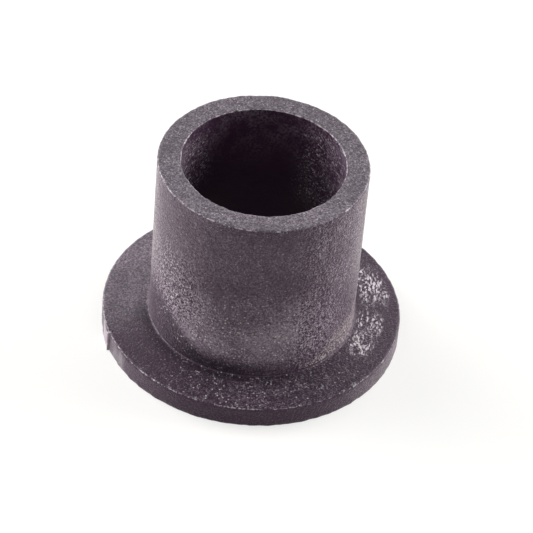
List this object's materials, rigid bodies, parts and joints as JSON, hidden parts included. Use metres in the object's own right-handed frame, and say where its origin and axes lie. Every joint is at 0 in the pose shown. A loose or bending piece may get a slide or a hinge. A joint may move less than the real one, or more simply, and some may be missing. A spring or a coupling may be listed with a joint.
{
  "type": "flanged bushing",
  "caption": "Moulded plastic bushing: a thin-walled round sleeve with a plain through bore and a wide thin flange at one end.",
  "frame": {"origin": "centre of the flange's flat face, on the bore's axis", "axes": "+Z along the bore's axis, from the flange to the free end of the barrel"},
  "size_m": [0.0361, 0.036, 0.0254],
  "materials": {
    "nylon": "matt black glass-filled nylon, scuffed and speckled with pale fibres"
  },
  "bodies": {
    "root": {"bushing": "nylon"}
  },
  "joints": []
}
